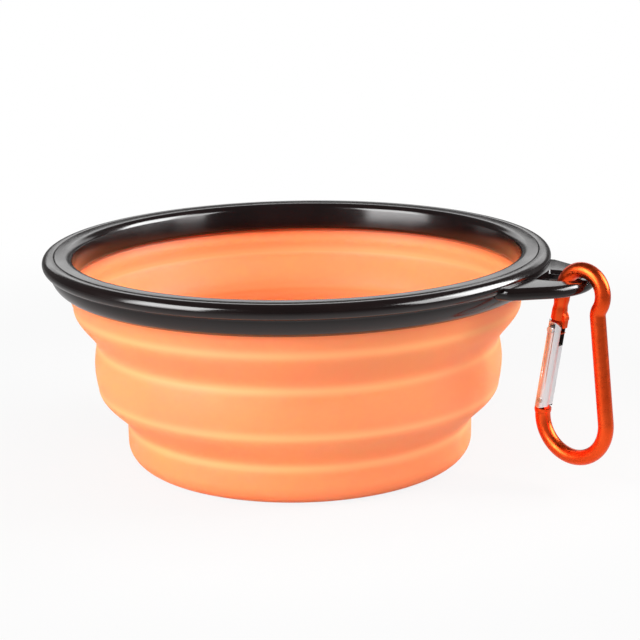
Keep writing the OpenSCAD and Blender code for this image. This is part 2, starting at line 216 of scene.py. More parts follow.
bump = add(tree, "ShaderNodeBump", Height=grain.outputs["Fac"], Strength=0.12, Distance=0.04 * MM)
spread = add(tree, "ShaderNodeMapRange", Value=glow_attribute.outputs["Fac"], From_Min=0.43, From_Max=0.62,
             To_Min=0.75, To_Max=0)
skin = add(tree, "ShaderNodeBsdfPrincipled", {"subsurface_method": "RANDOM_WALK"}, IOR=1.41,
           Base_Color=mottled.outputs[2], Roughness=rough.outputs["Result"], Normal=bump.outputs["Normal"],
           Subsurface_Weight=spread.outputs["Result"], Subsurface_Radius=(1.0, 0.32, 0.14),
           Subsurface_Scale=5 * MM)
add(tree, "ShaderNodeOutputMaterial", Surface=skin.outputs["BSDF"])


def silicone_sheet(name, rows):
    """Rows of (radius, height, wall thickness, painted glow) from the top down become a sheet with that
    wall.
    """
    sheet = turned_sheet(name, [(r, z) for r, z, _, _ in rows], silicone)
    mesh = sheet.data
    wall = sheet.vertex_groups.new(name="wall")
    thickest = max(thick for _, _, thick, _ in rows)
    glow_values = []
    heights = []
    for i, (_, z, thick, glow_here) in enumerate(rows):
        ring = range(i * TURNS, min((i + 1) * TURNS, len(mesh.vertices)))
        wall.add(list(ring), thick / thickest, "REPLACE")
        glow_values += [glow_here] * len(ring)
        heights += [z] * len(ring)
    mesh.attributes.new("thinness", "FLOAT", "POINT").data.foreach_set("value", glow_values)
    mesh.attributes.new("height at rest", "FLOAT", "POINT").data.foreach_set("value", heights)
    solidify = sheet.modifiers.new("wall", "SOLIDIFY")
    solidify.thickness = thickest
    solidify.offset = -1
    solidify.vertex_group = "wall"
    solidify.use_quality_normals = True
    return sheet


CREASES = (UPPER_Z, UPPER_FOLD_Z, MIDDLE_Z, BASE_H)
GLOW_RUN = 1 * MM
BAND_STEPS = 36


def thinness(z, between):
    """The painted glow of the wall at a height: 1 at a fold line, and the given value between the lines."""
    near = min(abs(z - crease) for crease in CREASES)
    return between + (1 - between) * math.exp(-(near / GLOW_RUN) ** 2)


def band_wall(run):
    """The wall of a band at a distance from its fold line."""
    return CREASE_T + (WALL_T - CREASE_T) * ease(min(1, run / CREASE_RUN))


def shares(count):
    """From 0 to 1, closer together at both ends, where the fold lines are."""
    return [0.5 - 0.5 * math.cos(math.pi * i / count) for i in range(count + 1)]


def fold_rows(r_low, r_high, z_low):
    """The rows of a fold, from its upper line to its lower one."""
    rows = []
    for t in shares(BAND_STEPS):
        z = z_low + FOLD_H * (1 - t)
        web = CREASE_T + (WEB_T - CREASE_T) * math.sin(math.pi * t)
        rows.append((r_low + (r_high - r_low) * ease(1 - t), z, web, thinness(z, BAND_GLOW)))
    return rows


# The upper sheet: the collar in the rim, which thickens over its last third, and the flaring upper band, the
# fold and the middle band below it.
COLLAR_STEPS = 12
UPPER_STEPS = 24
RIM_SHADED_POWER = 4
rows = []
# Painted shade: the collar in the rim gets no glow, which paints it the deepest red.
for i in range(COLLAR_STEPS):
    t = i / COLLAR_STEPS
    collar_wall = CREASE_T + (WALL_T - CREASE_T) * max(0, 3 * t - 2)
    rows.append((COLLAR_R, COLLAR_TOP + (SKIRT_Z - COLLAR_TOP) * t, collar_wall, 0))
for t in shares(UPPER_STEPS):
    z = UPPER_Z + UPPER_H * (1 - t)
    flare = UPPER_R + (COLLAR_R - UPPER_R) * (1 - t) ** FLARE_POWER
    # Painted shade: the glow falls towards the rim, which paints the band redder close under it.
    between = BAND_GLOW + (RIM_SHADED_GLOW - BAND_GLOW) * (1 - t) ** RIM_SHADED_POWER
    rows.append((flare, z, band_wall(z - UPPER_Z), thinness(z, between)))
rows += fold_rows(MIDDLE_R, UPPER_R, UPPER_FOLD_Z)[1:]
for t in shares(BAND_STEPS)[1:]:
    z = UPPER_FOLD_Z - MIDDLE_H * t
    wall = band_wall(min(z - MIDDLE_Z, UPPER_FOLD_Z - z))
    rows.append((MIDDLE_R + BULGE * math.sin(math.pi * t), z, wall, thinness(z, BAND_GLOW)))
silicone_upper = silicone_sheet("silicone_upper", rows)
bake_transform(silicone_upper)
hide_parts("upper_wall", "upper_fold", "middle_band")

# The lower sheet: the lower fold, the side of the base, its round corner and the flat floor.
SIDE_STEPS = 10
CORNER_STEPS = 14
FLOOR_STEPS = 9
FLOOR_R = BASE_R - BASE_CORNER
rows = fold_rows(BASE_R, MIDDLE_R, BASE_H)
for i in range(1, SIDE_STEPS + 1):
    z = BASE_H - (BASE_H - BASE_CORNER) * i / SIDE_STEPS
    rows.append((BASE_R, z, band_wall(BASE_H - z), thinness(z, BASE_GLOW)))
for i in range(1, CORNER_STEPS + 1):
    t = i / CORNER_STEPS
    a = math.pi / 2 * t
    rows.append((FLOOR_R + BASE_CORNER * math.cos(a), BASE_CORNER * (1 - math.sin(a)),
                 WALL_T + (FLOOR_T - WALL_T) * t, BASE_GLOW + (FLOOR_GLOW - BASE_GLOW) * t))
for i in range(1, FLOOR_STEPS + 1):
    rows.append((FLOOR_R * (1 - (i / FLOOR_STEPS) ** 2), 0, FLOOR_T, FLOOR_GLOW))
silicone_lower = silicone_sheet("silicone_lower", rows)
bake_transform(silicone_lower)
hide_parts("lower_fold", "base_cup")


# The inner ring of the rim: glossy black ABS, injection moulded. It is pressed down into the outer ring over
# the silicone's collar, and its flange covers the joint as far as the seam on top.
def solid(name, rings, material, loop=False):
    """A closed piece from rings of points. Its ends are flat, or with loop the last ring joins the first."""
    sides = len(rings[0])
    points = [spot for ring in rings for spot in ring]
    faces = ring_faces(len(rings), sides, loop)
    if not loop:
        faces += [list(range(sides)), list(range(len(points) - sides, len(points)))]
    piece = new_piece(name, points, faces, material)
    shape = bmesh.new()
    shape.from_mesh(piece.data)
    bmesh.ops.recalc_face_normals(shape, faces=shape.faces)
    shape.to_mesh(piece.data)
    shape.free()
    return piece


def turned_ring(name, profile, material):
    """Turns a closed profile of (radius, height) about the bowl's axis."""
    rings = [[(r * math.cos(a), r * math.sin(a), z) for r, z in profile] for a in around(TURNS)]
    return solid(name, rings, material, loop=True)


def arc(centre, radius, start, end, count):
    """Points on an arc in a section, with angles in degrees."""
    angles = [math.radians(start + (end - start) * i / count) for i in range(count + 1)]
    return [(centre[0] + radius * math.cos(a), centre[1] + radius * math.sin(a)) for a in angles]


# ABS off a polished mould: near black with a warm cast, a clear reflection, and the faint orange peel that
# the moulding leaves, about 2.5 mm across and deepened a little to show. Handling dulls it in patches, which
# are drawn about 11 mm wide.
PEEL = 2.5 * MM
SMEAR = 11.1 * MM

black_abs, tree = new_material("glossy moulded ABS")
place = add(tree, "ShaderNodeNewGeometry")
peel = add(tree, "ShaderNodeTexNoise", Vector=place.outputs["Position"], Scale=1 / PEEL, Detail=1)
smear = add(tree, "ShaderNodeTexNoise", Vector=place.outputs["Position"], Scale=1 / SMEAR, Detail=4)
tone = add(tree, "ShaderNodeValToRGB", {"stops": ((0.3, "#0e0707"), (0.7, "#130909"))},
           Fac=smear.outputs["Fac"])
rough = add(tree, "ShaderNodeMapRange", Value=smear.outputs["Fac"], From_Min=0.35, From_Max=0.7,
            To_Min=0.13, To_Max=0.2)
bump = add(tree, "ShaderNodeBump", Height=peel.outputs["Fac"], Strength=0.05, Distance=0.03 * MM)
gloss = add(tree, "ShaderNodeBsdfPrincipled", Base_Color=tone.outputs["Color"], IOR=1.5,
            Roughness=rough.outputs["Result"], Normal=bump.outputs["Normal"])
add(tree, "ShaderNodeOutputMaterial", Surface=gloss.outputs["BSDF"])

MOUTH_R = 57.4 * MM
MOUTH_ROUND = 1.8 * MM
RING_OUT_R = 58.55 * MM
RING_Z = 47.8 * MM
RING_LEAN = 8
FLANGE_Z = 53 * MM
SEAM_R = 61.9 * MM
SEAM_ROUND = 0.25 * MM

# The inner wall leans, from this point on the mouth's round down to the round foot, which fills the space
# that is left inside the ring's outer radius.
lean = math.radians(RING_LEAN)
wall_x = MOUTH_R + MOUTH_ROUND * (1 - math.cos(lean))
wall_z = BOWL_H - MOUTH_ROUND * (1 - math.sin(lean))
wall_space = RING_OUT_R - wall_x + (wall_z - RING_Z) * math.tan(lean)
FOOT_R = wall_space / (1 + math.cos(lean) + (1 + math.sin(lean)) * math.tan(lean))
profile = (arc((MOUTH_R + MOUTH_ROUND, BOWL_H - MOUTH_ROUND), MOUTH_ROUND, 90, 180 - RING_LEAN, 14)
           + arc((RING_OUT_R - FOOT_R, RING_Z + FOOT_R), FOOT_R, 180 - RING_LEAN, 360, 18)
           + [(RING_OUT_R, FLANGE_Z), (SEAM_R, FLANGE_Z)]
           + arc((SEAM_R - SEAM_ROUND, BOWL_H - SEAM_ROUND), SEAM_ROUND, 0, 90, 4))
inner_ring = turned_ring("rim_inner_ring_visual", profile, black_abs)
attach(inner_ring, "rim")
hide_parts("rim_inner_ring")

# The outer ring of the rim: the same black ABS, with a round bead along its edge and a swelling skirt that
# grips the silicone from outside. A fine step under the bead marks where the mould parts.
BEAD_R = 1.85 * MM
BEAD_C = (63.15 * MM, 53.15 * MM)
MOULD_STEP = 0.05 * MM
SKIRT_IN_R = 59.65 * MM
SKIRT_ROUND = 5.1 * MM
SKIRT_C = (BEAD_C[0] - SKIRT_ROUND - MOULD_STEP, BEAD_C[1] - BEAD_R)
SKIRT_EDGE_H = 0.4 * MM
SKIRT_EDGE_T = 0.15 * MM
LOCK_R = 61.25 * MM
LOCK_Z = 51.15 * MM
OUTER_SEAM_R = SEAM_R + 0.05 * MM
SKIRT_END = -1.5
BEAD_START = -88

skirt_start = math.degrees(math.asin((SKIRT_Z - SKIRT_C[1]) / SKIRT_ROUND))
profile = ([(OUTER_SEAM_R, FLANGE_Z), (LOCK_R, FLANGE_Z), (LOCK_R, LOCK_Z), (SKIRT_IN_R, LOCK_Z)]
           + [(SKIRT_IN_R, SKIRT_Z + SKIRT_EDGE_H), (SKIRT_IN_R + SKIRT_EDGE_T, SKIRT_Z)]
           + arc(SKIRT_C, SKIRT_ROUND, skirt_start, SKIRT_END, 16)
           + arc(BEAD_C, BEAD_R, BEAD_START, 90, 28)
           + arc((OUTER_SEAM_R + SEAM_ROUND, BOWL_H - SEAM_ROUND), SEAM_ROUND, 90, 180, 4))
outer_ring = turned_ring("rim_outer_ring_visual", profile, black_abs)
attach(outer_ring, "rim")
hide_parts("rim_outer_ring")

# The hang tab: black ABS, moulded in one with the outer ring. It is a flat ear with a rounded edge, which
# grows out of square shoulders at the ring, and its slot is chamfered on both faces.
TAB_TOP = BOWL_H - 2.1 * MM
TAB_T = 3 * MM
TAB_R = 15.4 * MM
TAB_X = 63.2 * MM
TAB_EDGE = 1.2 * MM
TAB_EDGE_STEPS = 7
TAB_ROOT = 62.3 * MM
TAB_EYE = 68.6 * MM
TAB_FLARE = math.radians(34)
TAB_SHOULDER = 18 * MM
SLOT_X = 66.3 * MM
SLOT_END_X = 70.4 * MM
SLOT_R = 4.9 * MM
SLOT_CHAMFER = 0.9 * MM
SLOT_ROOT_CHAMFER = 0.15 * SLOT_CHAMFER
TAB_RAYS = 180
NEARLY_NONE = 1e-6


def tab_reach(angle, inset):
    """How far the tab's edge is from the eye of the slot, at an angle and inset from its outline."""
    dx = math.cos(angle)
    dy = math.sin(angle)
    off = TAB_EYE - TAB_X
    size = TAB_R - inset
    reach = -off * dx + math.sqrt(size ** 2 - (off * dy) ** 2)
    slope = dx * math.sin(TAB_FLARE) + abs(dy) * math.cos(TAB_FLARE)
    if slope > 0:
        straight = (size - off * math.sin(TAB_FLARE)) / slope
        if off + straight * dx < size * math.sin(TAB_FLARE):
            reach = straight
    reach = min(reach, (TAB_SHOULDER - inset) / max(abs(dy), NEARLY_NONE))
    turn = (TAB_EYE * dx) ** 2 - TAB_EYE ** 2 + TAB_ROOT ** 2
    if turn > 0 and dx < 0:
        reach = min(reach, -TAB_EYE * dx - math.sqrt(turn))
    return reach


def slot_reach(angle, chamfer):
    """How far the slot's edge is from its eye, at an angle and at a share of its chamfer."""
    dx = math.cos(angle)
    dy = math.sin(angle)
    wide = SLOT_R + SLOT_CHAMFER * chamfer
    side = wide / max(abs(dy), NEARLY_NONE)
    if TAB_EYE + side * dx > SLOT_END_X:
        off = TAB_EYE - SLOT_END_X
        return -off * dx + math.sqrt(wide ** 2 - (off * dy) ** 2)
    if dx < 0:
        return min(side, (SLOT_X - SLOT_ROOT_CHAMFER * chamfer - TAB_EYE) / dx)
    return side


# The tab's section, from the slot's wall over the top to the edge, and back underneath.
upper_half = [(slot_reach, 0, 0), (slot_reach, 0, TAB_T / 2 - SLOT_CHAMFER), (slot_reach, 1, TAB_T / 2)]
for i in range(TAB_EDGE_STEPS + 1):
    a = math.pi / 2 * i / TAB_EDGE_STEPS
    upper_half.append((tab_reach, TAB_EDGE * (1 - math.sin(a)), TAB_T / 2 - TAB_EDGE * (1 - math.cos(a))))
section = upper_half + [(reach, offset, -rise) for reach, offset, rise in upper_half[:0:-1]]
slot_corner = math.atan2(SLOT_R, TAB_EYE - SLOT_X)
rings = []
for a in sorted(around(TAB_RAYS) + [math.pi - slot_corner, math.pi + slot_corner]):
    rings.append([(TAB_EYE + reach(a, offset) * math.cos(a), reach(a, offset) * math.sin(a),
                   TAB_TOP - TAB_T / 2 + rise) for reach, offset, rise in section])
tab = solid("hang_tab_visual", rings, black_abs, loop=True)


def soften(piece, width):
    """Breaks the sharp edges of a piece by up to this width, and less where its edges are short. The faces
    beside them keep their own shading."""
    edges = piece.modifiers.new("edges", "BEVEL")
    edges.width = width
    edges.segments = 3
    edges.limit_method = "ANGLE"
    edges.angle_limit = math.radians(32)
    edges.harden_normals = True


soften(tab, width=0.15 * MM)
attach(tab, "rim")
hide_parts("rim_outer_ring")

# The clip's body: one aluminium rod bent to a pear shape, with a kink where the hook meets the spine. A flat
# tongue at each end takes the gate. It is tumbled, then dyed orange and sealed by anodising.
ROD_R = 1.9 * MM
ROD_SIDES = 40
HOOK_R = 5.75 * MM
BEND_R = 9.5 * MM
BEND_C = Vector((-1.9, -32)) * MM
SHOULDER_TURN = 32
SHOULDER_R = 3 * MM
CLIP_TURN = math.radians(19.5)
HOOK_C = Vector((76.83, -1.5, 49.4)) * MM
RIVET_RISE = 2 * MM
NOSE_LEN = 8.44 * MM
NOSE_GAP = 0.6 * MM
GATE_TAIL = 1.9 * MM
GATE_R = 2.1 * MM
TONGUE_T = 1.4 * MM
TONGUE_GAP = 0.15 * MM
HINGE_TONGUE_RISE = 1.9 * MM
NOSE_PIN_R = 0.5 * MM
RIVET_R = 0.6 * MM

shoulder_turn = math.radians(SHOULDER_TURN)
SHOULDER_C = Vector((math.cos(shoulder_turn), -math.sin(shoulder_turn))) * (HOOK_R + SHOULDER_R)
GATE_LEAN = math.atan2(-BEND_C.x, -BEND_C.y) + math.asin((BEND_R - HOOK_R) / BEND_C.length)
spine = SHOULDER_C - BEND_C
SPINE_LEAN = math.asin((BEND_R + SHOULDER_R) / spine.length) - math.atan2(spine.x, spine.y)
GATE_UP = Vector((math.sin(GATE_LEAN), math.cos(GATE_LEAN)))
GATE_IN = Vector((math.cos(GATE_LEAN), -math.sin(GATE_LEAN)))
RIVET = BEND_C - BEND_R * GATE_IN + RIVET_RISE * GATE_UP
SHOULDER_LOW = -GATE_TAIL - NOSE_GAP / 2
NOSE_LOW = -RIVET.dot(GATE_UP) - NOSE_LEN
GATE_LEN = NOSE_LOW - NOSE_GAP
NOSE_PIN_RISE = GATE_LEN - 1.8 * MM


def in_clip(x, y, out=0):
    """A place in the clip's plane, x away from the bowl and y up, and out towards the camera."""
    return HOOK_C + Vector((x * math.cos(CLIP_TURN) - out * math.sin(CLIP_TURN),
                            -x * math.sin(CLIP_TURN) - out * math.cos(CLIP_TURN), y))


def by_gate(across, out, along):
    """A place beside the gate's axis: across towards the inside of the clip, out, and up from the rivet."""
    spot = RIVET + GATE_IN * across + GATE_UP * along
    return in_clip(spot.x, spot.y, out)


def across_gate(along):
    """Puts a lathe's axis across the gate, out towards the camera, at a height."""
    return lambda x, y, h: by_gate(x, h, along + y)


def lathe(name, place, profile, material, sides=64):
    """Turns (radius, height) rows about the third axis of place."""
    rings = [[place(r * math.cos(a), r * math.sin(a), h) for a in around(sides)] for r, h in profile]
    return solid(name, rings, material)


def prism(name, outline, low, high, material):
    """A flat solid whose outline is given as (across, along) beside the gate, from low to high outwards."""
    return solid(name, [[by_gate(x, out, h) for x, h in outline] for out in (low, high)], material)


def rectangle(left, right, low, high):
    """A prism's outline with four corners."""
    return [(left, low), (right, low), (right, high), (left, high)]


def carve(piece, operation, *tools):
    """Joins other solids to a piece, or takes them away, for good."""
    for tool in tools:
        step = piece.modifiers.new("step", "BOOLEAN")
        step.operation = operation
        step.solver = "EXACT"
        step.object = tool
    shape = bpy.data.meshes.new_from_object(piece.evaluated_get(bpy.context.evaluated_depsgraph_get()))
    piece.modifiers.clear()
    piece.data = shape
    for tool in tools:
        bpy.data.objects.remove(tool)


# Dyed anodising over a tumbled rod: the metal's own lustre through a saturated orange, with highlights that
# turn yellow where they are strongest. Tumbling leaves it faintly uneven, drawn 1.25 mm wide to show, and
# the dye takes a little unevenly in patches about 6 mm wide.
TUMBLE = 1.25 * MM
DYE_PATCH = 6.25 * MM

anodised, tree = new_material("orange anodised aluminium")
place = add(tree, "ShaderNodeNewGeometry")
tumble = add(tree, "ShaderNodeTexNoise", Vector=place.outputs["Position"], Scale=1 / TUMBLE, Detail=1)
patch = add(tree, "ShaderNodeTexNoise", Vector=place.outputs["Position"], Scale=1 / DYE_PATCH, Detail=2)
dye = add(tree, "ShaderNodeValToRGB", {"stops": ((0.3, "#f2501f"), (0.7, "#f85a27"))},
          Fac=patch.outputs["Fac"])
rough = add(tree, "ShaderNodeMapRange", Value=tumble.outputs["Fac"], From_Min=0.3, From_Max=0.7,
            To_Min=0.26, To_Max=0.36)
bump = add(tree, "ShaderNodeBump", Height=tumble.outputs["Fac"], Strength=0.02, Distance=0.04 * MM)
metal = add(tree, "ShaderNodeBsdfPrincipled", Base_Color=dye.outputs["Color"], Metallic=1,
            Roughness=rough.outputs["Result"], Normal=bump.outputs["Normal"])
add(tree, "ShaderNodeOutputMaterial", Surface=metal.outputs["BSDF"])

# The rod's centre line, as places and directions, runs from the nose over the hook and round to the collar.
# The nose has a slight waist, whose place and width are given in steps of that line.
NOSE_STEP = 0.4 * MM
NOSE_STEPS = 18
WAIST = 0.09
WAIST_AT = 9
WAIST_RUN = 2.2
ROD_END = SHOULDER_LOW - 0.6 * MM
TOO_CLOSE = 0.02 * MM


def bend(centre, radius, start, end, count):
    """Places and directions on a bend of the rod, with angles in degrees."""
    way = 1 if end > start else -1
    spokes = [Vector(spoke) for spoke in arc((0, 0), 1, start, end, count)]
    return [(centre + spoke * radius, Vector((-spoke.y, spoke.x)) * way) for spoke in spokes]


gate_lean = math.degrees(GATE_LEAN)
spine_lean = math.degrees(SPINE_LEAN)
line = [(RIVET + GATE_UP * (NOSE_LOW + i * NOSE_STEP), GATE_UP) for i in range(NOSE_STEPS)]
line += bend(Vector((0, 0)), HOOK_R, 180 - gate_lean, -SHOULDER_TURN, 44)
line += bend(SHOULDER_C, SHOULDER_R, 180 - SHOULDER_TURN, 180 + spine_lean, 10)
line += bend(BEND_C, BEND_R, spine_lean, -180 - gate_lean, 56)
line.append((RIVET + GATE_UP * ROD_END, GATE_UP))
route = line[:1] + [step for before, step in zip(line, line[1:]) if (step[0] - before[0]).length > TOO_CLOSE]
rings = []
for i, (spot, along) in enumerate(route):
    radius = ROD_R * (1 - WAIST * math.exp(-((i - WAIST_AT) / WAIST_RUN) ** 2))
    beside = Vector((-along.y, along.x)) * radius
    places = [(spot + beside * math.cos(a), radius * math.sin(a)) for a in around(ROD_SIDES)]
    rings.append([in_clip(flat.x, flat.y, out) for flat, out in places])
clip_body = solid("clip_body_visual", rings, anodised)

# The collar swells a little under the gate's tail, and the hinge's tongue stands on it.
COLLAR_H = 1.2 * MM
COLLAR_BLEND = 0.5 * MM
COLLAR_FOOT_R = ROD_R - 0.1 * MM
COLLAR_LOW_R = GATE_R - 0.11 * MM
COLLAR_SWELL_R = GATE_R
COLLAR_END_R = GATE_R - 0.05 * MM
HINGE_TONGUE_BACK = -1.5 * MM
HINGE_TONGUE_FRONT = 1.05 * MM
ROOTED = 0.2 * MM
collar = lathe("collar", by_gate, [(COLLAR_FOOT_R, SHOULDER_LOW - COLLAR_H - COLLAR_BLEND),
                                   (COLLAR_LOW_R, SHOULDER_LOW - COLLAR_H),
                                   (COLLAR_SWELL_R, SHOULDER_LOW - 0.7 * COLLAR_H),
                                   (COLLAR_SWELL_R, SHOULDER_LOW - 0.3 * COLLAR_H),
                                   (COLLAR_END_R, SHOULDER_LOW)], anodised)
tongue_side = rectangle(HINGE_TONGUE_BACK, HINGE_TONGUE_FRONT, SHOULDER_LOW - ROOTED, HINGE_TONGUE_RISE)
hinge_tongue = prism("hinge tongue", tongue_side, -TONGUE_T / 2, TONGUE_T / 2, anodised)

# The nose ends in a flat lip with a brow over it. Their outlines are in millimetres, across the gate and up:
# the lip's foot from a level just under the pin's notch, and the rest from the round nose's end.
LIP_FOOT_OUTLINE = ((-1.5, 0.4), (-1.1, 0), (1.6, 0), (2.25, 0.35), (2.5, 1.1))
LIP_HEAD_OUTLINE = ((2.5, 0.3), (1.78, 1.6), (-1.5, 0.2))
BROW_OUTLINE = ((0, 0), (2.25, 0), (2.5, 0.4), (2.4, 0.9), (1.8, 2), (0, 2))
BROW_T = 1.9 * MM
LIP_LOW = NOSE_PIN_RISE - 2 * NOSE_PIN_R - TONGUE_GAP
lip_side = [(x * MM, LIP_LOW + h * MM) for x, h in LIP_FOOT_OUTLINE]
lip_side += [(x * MM, NOSE_LOW + h * MM) for x, h in LIP_HEAD_OUTLINE]
lip = prism("lip", lip_side, -TONGUE_T / 2, TONGUE_T / 2, anodised)
brow_side = [(x * MM, NOSE_LOW + h * MM) for x, h in BROW_OUTLINE]
brow = prism("brow", brow_side, -BROW_T / 2, BROW_T / 2, anodised)
carve(clip_body, "UNION", collar, hinge_tongue, lip, brow)

# The notch for the pin is a round hole that is open towards the inside of the clip.
NOTCH_R = NOSE_PIN_R + TONGUE_GAP
NOTCH_HALF = 2 * MM
hole = lathe("hole", across_gate(NOSE_PIN_RISE), [(NOTCH_R, -NOTCH_HALF), (NOTCH_R, NOTCH_HALF)], anodised)
way_in_side = rectangle(0, 2 * NOTCH_HALF, NOSE_PIN_RISE - NOTCH_R, NOSE_PIN_RISE + NOTCH_R)
way_in = prism("way in", way_in_side, -NOTCH_HALF, NOTCH_HALF, anodised)
carve(clip_body, "DIFFERENCE", hole, way_in)
soften(clip_body, width=0.14 * MM)
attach(clip_body, "clip")
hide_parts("clip_body")

# The gate: bright aluminium rod, turned, slotted at both ends and bored from its tail. Its tail is cut on a
# slant so that it can swing past the collar.
GATE_LOW = SHOULDER_LOW + 0.06 * MM
TIP_SLOT = 5.9 * MM
TAIL_BEVEL = math.radians(24)
TAIL_ROOM = 0.6 * MM
TAIL_SKIN = 0.5 * MM
TAIL_MOUTH = -0.8 * MM
BORE_R = 1.1 * MM
BORE_RISE = GATE_LEN - TIP_SLOT - 0.9 * MM
FORK_HALF = TONGUE_T / 2 + TONGUE_GAP
RIVET_HOLE_R = RIVET_R + 0.05 * MM
SINK_R = NOSE_PIN_R + 0.3 * MM
SINK_DEPTH = 0.35 * MM
SINK_CONE = 0.2 * MM
BEYOND = 3 * MM
CUT_STEP = 0.01 * MM
FACES_ACROSS = 0.95

# The tip is rounded towards the inside of the clip. This outline is cut away from it, in millimetres across
# the gate and up from its end.
TIP_ROUND = ((0.5, 3), (0.9, 0), (1.5, -0.45), (1.9, -1.1), (2.15, -2), (3, -2), (3, 3))

# Bright aluminium, polished along its length: almost white, with soft streaks that run with the gate and
# lean as it does. The real polishing lines are about 0.05 mm apart. They are drawn 0.83 mm wide and 25 times
# as long, to show.
STREAK = 5 / 6 * MM
STREAK_STRETCH = 25
STREAK_LEAN = (math.radians(3.4), math.radians(-9.6), 0)

bright, tree = new_material("polished aluminium")
place = add(tree, "ShaderNodeNewGeometry")
along_gate = add(tree, "ShaderNodeMapping", Vector=place.outputs["Position"], Rotation=STREAK_LEAN,
                 Scale=(1, 1, 1 / STREAK_STRETCH))
streak = add(tree, "ShaderNodeTexNoise", Vector=along_gate.outputs["Vector"], Scale=1 / STREAK, Detail=0)
tone = add(tree, "ShaderNodeValToRGB", {"stops": ((0.3, "#e6e7e9"), (0.7, "#f0f0f2"))},
           Fac=streak.outputs["Fac"])
rough = add(tree, "ShaderNodeMapRange", Value=streak.outputs["Fac"], From_Min=0.3, From_Max=0.7,
            To_Min=0.32, To_Max=0.42)
metal = add(tree, "ShaderNodeBsdfPrincipled", Base_Color=tone.outputs["Color"], Metallic=1,
            Roughness=rough.outputs["Result"])
add(tree, "ShaderNodeOutputMaterial", Surface=metal.outputs["BSDF"])

# The slots are left as the saw cut them: rough, and painted near black, as the shade deep in them, with
# specks drawn 0.33 mm wide.
SPECK = 0.333 * MM

sawn_and_shaded, tree = new_material("sawn aluminium")
place = add(tree, "ShaderNodeNewGeometry")
speckle = add(tree, "ShaderNodeTexNoise", Vector=place.outputs["Position"], Scale=1 / SPECK, Detail=2)
# Painted shade: the slot walls are near black, as shade, with random specks.
tone = add(tree, "ShaderNodeValToRGB", {"stops": ((0.3, "#1d1b1b"), (0.7, "#343130"))},
           Fac=speckle.outputs["Fac"])
dull = add(tree, "ShaderNodeBsdfPrincipled", Base_Color=tone.outputs["Color"], Metallic=0.6, Roughness=0.65)
add(tree, "ShaderNodeOutputMaterial", Surface=dull.outputs["BSDF"])

gate = lathe("clip_gate_visual", by_gate, [(GATE_R, GATE_LOW), (GATE_R, GATE_LEN)], bright)
tip_slot = rectangle(-BEYOND, BEYOND, GATE_LEN - TIP_SLOT, GATE_LEN + BEYOND)
tail_slot = rectangle(-BEYOND, GATE_R - TAIL_SKIN, -BEYOND, HINGE_TONGUE_RISE + TAIL_ROOM)
tail_mouth = rectangle(0, 2 * BEYOND, -2 * BEYOND, TAIL_MOUTH)
sink = [(SINK_R, -BEYOND), (SINK_R, SINK_DEPTH - GATE_R), (NOSE_PIN_R, SINK_DEPTH + SINK_CONE - GATE_R)]
pin_hole = sink + [(r, -h) for r, h in sink[::-1]]
slant = [(0, GATE_LOW), (2 * GATE_R, GATE_LOW + 2 * GATE_R * math.tan(TAIL_BEVEL)),
         (2 * GATE_R, GATE_LOW - BEYOND), (0, GATE_LOW - BEYOND)]
tip_round = [(x * MM, GATE_LEN + h * MM) for x, h in TIP_ROUND]
carve(gate, "DIFFERENCE",
      prism("tip slot", tip_slot, -FORK_HALF, FORK_HALF, bright),
      prism("tail slot", tail_slot, -FORK_HALF, FORK_HALF, bright),
      prism("tail mouth", tail_mouth, -FORK_HALF + CUT_STEP, FORK_HALF - CUT_STEP, bright),
      lathe("bore", by_gate, [(BORE_R, -GATE_TAIL - BEYOND), (BORE_R, BORE_RISE)], bright, 40),
      lathe("rivet hole", across_gate(0), [(RIVET_HOLE_R, -BEYOND), (RIVET_HOLE_R, BEYOND)], bright, 40),
      lathe("pin hole", across_gate(NOSE_PIN_RISE), pin_hole, bright, 40),
      prism("slant", slant, -BEYOND, BEYOND, bright),
      prism("tip round", tip_round, -2 * BEYOND, 2 * BEYOND, bright))

# The long walls of both slots look across the gate, half a fork from its middle. They get the sawn finish,
# painted near black as shade.
gate.data.materials.append(sawn_and_shaded)
outwards = in_clip(0, 0, 1) - in_clip(0, 0)
for face in gate.data.polygons:
    from_middle = abs((face.center - by_gate(0, 0, 0)).dot(outwards))
    if from_middle < FORK_HALF + 2 * CUT_STEP and abs(face.normal.dot(outwards)) > FACES_ACROSS:
        face.material_index = 1
soften(gate, width=0.1 * MM)
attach(gate, "gate")
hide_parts("clip_gate")

# The hinge rivet: mild steel, driven through the gate's tail and the hinge's tongue, and headed over nearly
# flush at both ends.
HEAD_R = 0.75 * MM
HEAD_H = 0.12 * MM
HEAD_FROM = GATE_R - 0.06 * MM
HEAD_STEPS = 8

# Bright steel, as drawn and then handled: a light, faintly warm grey, dulled in spots that are drawn 0.67 mm
# wide.
WORN_SPOT = 2 / 3 * MM

steel, tree = new_material("bright steel")
place = add(tree, "ShaderNodeNewGeometry")
wear = add(tree, "ShaderNodeTexNoise", Vector=place.outputs["Position"], Scale=1 / WORN_SPOT, Detail=3)
tone = add(tree, "ShaderNodeValToRGB", {"stops": ((0.3, "#b9b8b4"), (0.7, "#cfcecb"))},
           Fac=wear.outputs["Fac"])
rough = add(tree, "ShaderNodeMapRange", Value=wear.outputs["Fac"], To_Min=0.2, To_Max=0.38)
metal = add(tree, "ShaderNodeBsdfPrincipled", Base_Color=tone.outputs["Color"], Metallic=1,
            Roughness=rough.outputs["Result"])
add(tree, "ShaderNodeOutputMaterial", Surface=metal.outputs["BSDF"])

dome = [(RIVET_R, HEAD_FROM)]
for i in range(HEAD_STEPS):
    a = math.pi / 2 * i / HEAD_STEPS
    dome.append((HEAD_R * math.cos(a), HEAD_FROM + HEAD_H * math.sin(a)))
rivet = lathe("gate_rivet_visual", across_gate(0), [(r, -h) for r, h in dome[::-1]] + dome, steel, 32)
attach(rivet, "clip")
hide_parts("gate_rivet")

